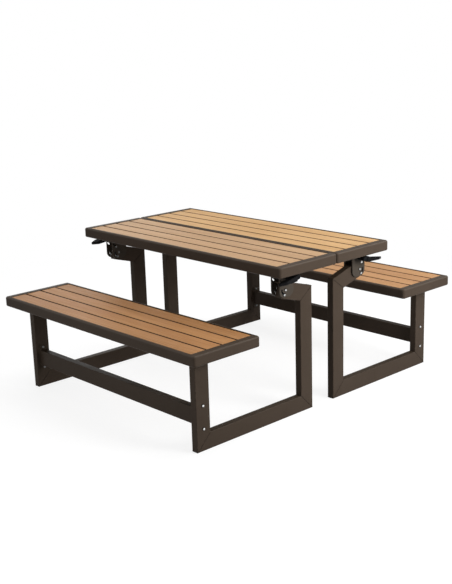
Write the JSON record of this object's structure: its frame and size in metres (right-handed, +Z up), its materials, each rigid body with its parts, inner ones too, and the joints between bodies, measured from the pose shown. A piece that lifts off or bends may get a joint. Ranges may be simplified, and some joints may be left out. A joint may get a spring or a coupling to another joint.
{
  "type": "convertible garden bench with table",
  "caption": "Picnic table made of a pair of facing garden benches whose hinged plank backs lay flat to form the table halves, on mitred tube frames with release levers.",
  "frame": {"origin": "on the floor, under the middle of the table", "axes": "+X along the benches, +Y from the near seat to the far seat, +Z up"},
  "size_m": [1.4, 1.722, 0.728],
  "materials": {
    "bronze_paint": "dark bronze powder coat, satin",
    "seat_wood": "oiled brown planks, satin",
    "table_wood": "oiled tan planks, satin",
    "zinc_steel": "bright zinc",
    "black_plastic": "black, fine matt"
  },
  "bodies": {
    "near_frame": {"near_left_bottom_rail": "bronze_paint", "near_left_seat_leg": "bronze_paint", "near_left_rear_leg": "bronze_paint", "near_left_arm": "bronze_paint", "near_right_bottom_rail": "bronze_paint", "near_right_seat_leg": "bronze_paint", "near_right_rear_leg": "bronze_paint", "near_right_arm": "bronze_paint", "near_stretcher": "bronze_paint", "near_stretcher_bolts": "zinc_steel", "near_hinge_bolts": "zinc_steel", "near_seat_rim": "bronze_paint", "near_seat_plank_1": "seat_wood", "near_seat_plank_2": "seat_wood", "near_seat_plank_3": "seat_wood", "near_seat_plank_4": "seat_wood", "near_seat_bearers": "bronze_paint"},
    "near_table": {"near_table_rim": "bronze_paint", "near_table_plank_1": "table_wood", "near_table_plank_2": "table_wood", "near_table_plank_3": "table_wood", "near_table_plank_4": "table_wood", "near_table_bearers": "bronze_paint", "near_left_hinge_bracket": "bronze_paint", "near_right_hinge_bracket": "bronze_paint"},
    "near_left_lever": {"near_left_lever": "black_plastic"},
    "near_left_pin": {"near_left_lock_pin": "zinc_steel"},
    "near_right_lever": {"near_right_lever": "black_plastic"},
    "near_right_pin": {"near_right_lock_pin": "zinc_steel"},
    "far_frame": {"far_left_bottom_rail": "bronze_paint", "far_left_seat_leg": "bronze_paint", "far_left_rear_leg": "bronze_paint", "far_left_arm": "bronze_paint", "far_right_bottom_rail": "bronze_paint", "far_right_seat_leg": "bronze_paint", "far_right_rear_leg": "bronze_paint", "far_right_arm": "bronze_paint", "far_stretcher": "bronze_paint", "far_stretcher_bolts": "zinc_steel", "far_hinge_bolts": "zinc_steel", "far_seat_rim": "bronze_paint", "far_seat_plank_1": "seat_wood", "far_seat_plank_2": "seat_wood", "far_seat_plank_3": "seat_wood", "far_seat_plank_4": "seat_wood", "far_seat_bearers": "bronze_paint"},
    "far_table": {"far_table_rim": "bronze_paint", "far_table_plank_1": "table_wood", "far_table_plank_2": "table_wood", "far_table_plank_3": "table_wood", "far_table_plank_4": "table_wood", "far_table_bearers": "bronze_paint", "far_left_hinge_bracket": "bronze_paint", "far_right_hinge_bracket": "bronze_paint"},
    "far_left_lever": {"far_left_lever": "black_plastic"},
    "far_left_pin": {"far_left_lock_pin": "zinc_steel"},
    "far_right_lever": {"far_right_lever": "black_plastic"},
    "far_right_pin": {"far_right_lock_pin": "zinc_steel"}
  },
  "joints": [
    {"name": "far_bench_slide", "type": "slide", "parent": "near_frame", "child": "far_frame", "axis": [0, 1, 0], "range_m": [0, 0.5]},
    {"name": "near_table_tilt", "type": "hinge", "parent": "near_frame", "child": "near_table", "pos_m": [0, -0.252, 0.598], "axis": [1, 0, 0], "range_deg": [0, 75]},
    {"name": "near_left_lever_pull", "type": "hinge", "parent": "near_table", "child": "near_left_lever", "pos_m": [-0.5945, -0.244, 0.6565], "axis": [-1, 0, 0], "range_deg": [0, 12], "stiffness_Nm_per_rad": 3, "springref_deg": -11.46},
    {"name": "near_left_pin_draw", "type": "slide", "parent": "near_table", "child": "near_left_pin", "axis": [0, -0.682, 0.7314], "range_m": [0, 0.0076], "stiffness_N_per_m": 1.82, "springref_m": 0.1},
    {"name": "near_right_lever_pull", "type": "hinge", "parent": "near_table", "child": "near_right_lever", "pos_m": [0.5945, -0.244, 0.6565], "axis": [-1, 0, 0], "range_deg": [0, 12], "stiffness_Nm_per_rad": 3, "springref_deg": -11.46},
    {"name": "near_right_pin_draw", "type": "slide", "parent": "near_table", "child": "near_right_pin", "axis": [0, -0.682, 0.7314], "range_m": [0, 0.0076], "stiffness_N_per_m": 1.82, "springref_m": 0.1},
    {"name": "far_table_tilt", "type": "hinge", "parent": "far_frame", "child": "far_table", "pos_m": [0, 0.252, 0.598], "axis": [-1, 0, 0], "range_deg": [0, 75]},
    {"name": "far_left_lever_pull", "type": "hinge", "parent": "far_table", "child": "far_left_lever", "pos_m": [0.5945, 0.244, 0.6565], "axis": [1, 0, 0], "range_deg": [0, 12], "stiffness_Nm_per_rad": 3, "springref_deg": -11.46},
    {"name": "far_left_pin_draw", "type": "slide", "parent": "far_table", "child": "far_left_pin", "axis": [0, 0.682, 0.7314], "range_m": [0, 0.0076], "stiffness_N_per_m": 1.82, "springref_m": 0.1},
    {"name": "far_right_lever_pull", "type": "hinge", "parent": "far_table", "child": "far_right_lever", "pos_m": [-0.5945, 0.244, 0.6565], "axis": [1, 0, 0], "range_deg": [0, 12], "stiffness_Nm_per_rad": 3, "springref_deg": -11.46},
    {"name": "far_right_pin_draw", "type": "slide", "parent": "far_table", "child": "far_right_pin", "axis": [0, 0.682, 0.7314], "range_m": [0, 0.0076], "stiffness_N_per_m": 1.82, "springref_m": 0.1}
  ],
  "couplings": [
    {"joint": "near_left_pin_draw", "follows": "near_left_lever_pull", "m_per_rad": 0.034377},
    {"joint": "near_right_pin_draw", "follows": "near_right_lever_pull", "m_per_rad": 0.034377},
    {"joint": "far_left_pin_draw", "follows": "far_left_lever_pull", "m_per_rad": 0.034377},
    {"joint": "far_right_pin_draw", "follows": "far_right_lever_pull", "m_per_rad": 0.034377}
  ]
}
